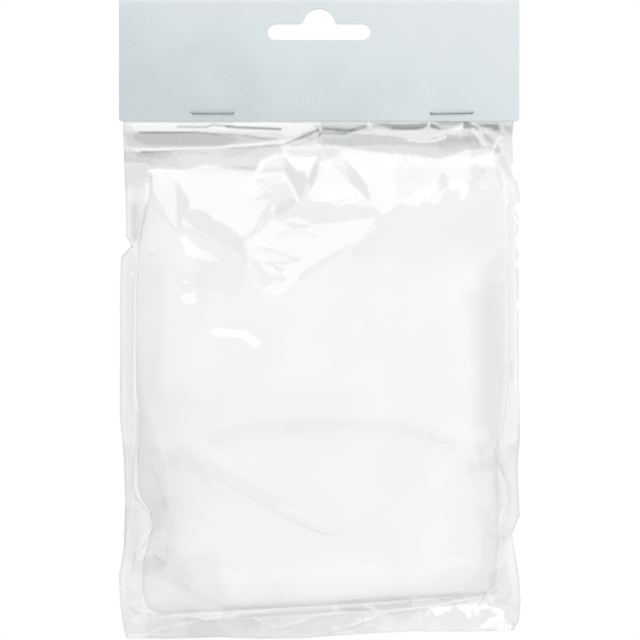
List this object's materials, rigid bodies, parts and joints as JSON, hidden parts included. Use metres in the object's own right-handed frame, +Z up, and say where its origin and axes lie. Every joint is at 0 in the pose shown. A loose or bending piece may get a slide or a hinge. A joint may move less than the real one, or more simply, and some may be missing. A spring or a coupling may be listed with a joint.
{
  "type": "shower cap hang pack",
  "caption": "Folded film shower cap with an elastic hem, packed in a clear film bag that is stapled under a folded header card with a hang slot.",
  "frame": {"origin": "top of the hang slot's round crown, in the middle of the card's thickness, where a display peg bears", "axes": "+Z up along the hanging pack, +X to the right seen from the front, -Y out of the front of the pack"},
  "size_m": [0.124, 0.0181, 0.198],
  "materials": {
    "board": "satin",
    "bag_film": "gloss",
    "cap_film": "satin",
    "elastic": "matte",
    "staple_wire": "polished"
  },
  "bodies": {
    "header": {"header_card": "board", "staple_left": "staple_wire", "staple_right": "staple_wire", "bag_mouth": "bag_film"},
    "bag": {"bag_front_film": "bag_film", "bag_back_film": "bag_film"},
    "cap": {"cap_crown": "cap_film", "cap_hem": "cap_film", "cap_elastic": "elastic"}
  },
  "joints": [
    {"name": "bag_swing", "type": "hinge", "parent": "header", "child": "bag", "pos_m": [0, 0, -0.0368], "axis": [1, 0, 0], "range_deg": [-90, 90]},
    {"name": "cap_slide", "type": "slide", "parent": "bag", "child": "cap", "axis": [0, 0, 1], "range_m": [0, 0.005]}
  ]
}
